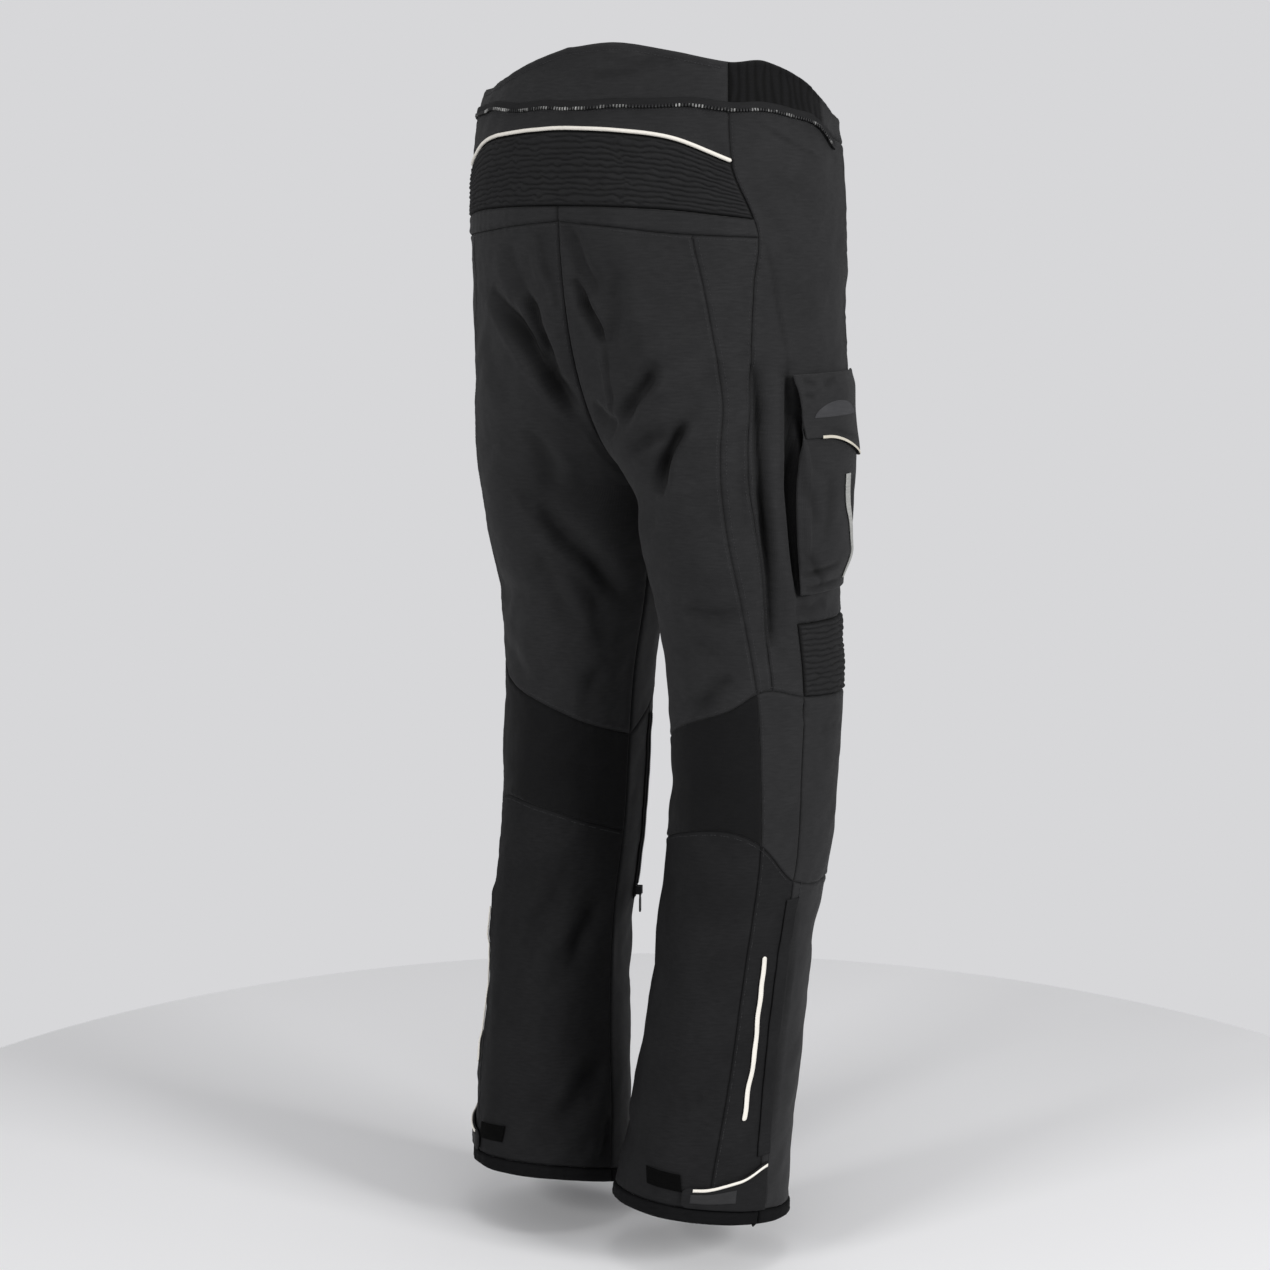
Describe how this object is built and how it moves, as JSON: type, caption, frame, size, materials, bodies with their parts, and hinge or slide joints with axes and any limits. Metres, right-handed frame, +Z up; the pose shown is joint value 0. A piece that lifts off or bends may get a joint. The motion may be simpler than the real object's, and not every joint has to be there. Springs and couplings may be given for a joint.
{
  "type": "motorcycle trousers",
  "caption": "Long motorcycle trousers in woven and ribbed stretch cloth, filled out as worn, open at the waist and hems, with cargo pockets and adjustable hems.",
  "frame": {"origin": "centre of the waist, where the wearer's waist holds the trousers, level with the side of the waistband", "axes": "+Z up along the wearer, -Y the wearer's front, +X the wearer's left"},
  "size_m": [0.4142, 0.313, 1.1631],
  "materials": {
    "shell_fabric": "charcoal-black woven nylon with a slight sheen",
    "stretch_fabric": "matt black stretch knit",
    "binding": "black woven tape, zip tape and hook-and-loop patches",
    "reflective_piping": "off-white retroreflective piping",
    "silver_stripe": "silver-grey reflective film",
    "dark_metal": "black-painted zinc"
  },
  "bodies": {
    "root": {"waist_back": "shell_fabric", "connection_zip": "binding", "yoke_back": "shell_fabric", "ribs_back": "stretch_fabric", "band_back": "shell_fabric", "piping_back": "reflective_piping", "fly": "shell_fabric", "waist_stud": "dark_metal", "waist_stretch_left": "stretch_fabric", "waist_front_left": "shell_fabric", "seat_left": "shell_fabric", "pleat_left": "shell_fabric", "side_left": "shell_fabric", "side_ribs_left": "stretch_fabric", "front_left": "shell_fabric", "knee_back_left": "stretch_fabric", "knee_side_left": "shell_fabric", "knee_front_left": "shell_fabric", "calf_back_left": "shell_fabric", "calf_side_left": "shell_fabric", "shin_left": "shell_fabric", "hem_back_left": "binding", "hem_front_left": "binding", "pocket_left": "shell_fabric", "pocket_flap_left": "shell_fabric", "pocket_stripe_left": "silver_stripe", "calf_stripe_left": "reflective_piping", "ankle_placket_left": "shell_fabric", "hem_tab_left": "shell_fabric", "tab_piping_left": "reflective_piping", "loop_patch_left": "binding", "knee_zip_left": "binding", "zip_slider_left": "dark_metal", "waist_stretch_right": "stretch_fabric", "waist_front_right": "shell_fabric", "seat_right": "shell_fabric", "pleat_right": "shell_fabric", "side_right": "shell_fabric", "side_ribs_right": "stretch_fabric", "front_right": "shell_fabric", "knee_back_right": "stretch_fabric", "knee_side_right": "shell_fabric", "knee_front_right": "shell_fabric", "calf_back_right": "shell_fabric", "calf_side_right": "shell_fabric", "shin_right": "shell_fabric", "hem_back_right": "binding", "hem_front_right": "binding", "pocket_right": "shell_fabric", "pocket_flap_right": "shell_fabric", "pocket_stripe_right": "silver_stripe", "calf_stripe_right": "reflective_piping", "ankle_placket_right": "shell_fabric", "hem_tab_right": "shell_fabric", "tab_piping_right": "reflective_piping", "loop_patch_right": "binding", "knee_zip_right": "binding", "zip_slider_right": "dark_metal"},
    "zip_pull_left_body": {"zip_pull_left": "dark_metal"},
    "zip_pull_right_body": {"zip_pull_right": "dark_metal"}
  },
  "joints": [
    {"name": "zip_pull_left_swing", "type": "hinge", "parent": "root", "child": "zip_pull_left_body", "pos_m": [0.04209, -0.02364, -0.836], "axis": [-0.445, 0.8955, 0], "range_deg": [0, 140]},
    {"name": "zip_pull_right_swing", "type": "hinge", "parent": "root", "child": "zip_pull_right_body", "pos_m": [-0.04209, -0.02364, -0.836], "axis": [-0.445, -0.8955, 0], "range_deg": [0, 140]}
  ]
}
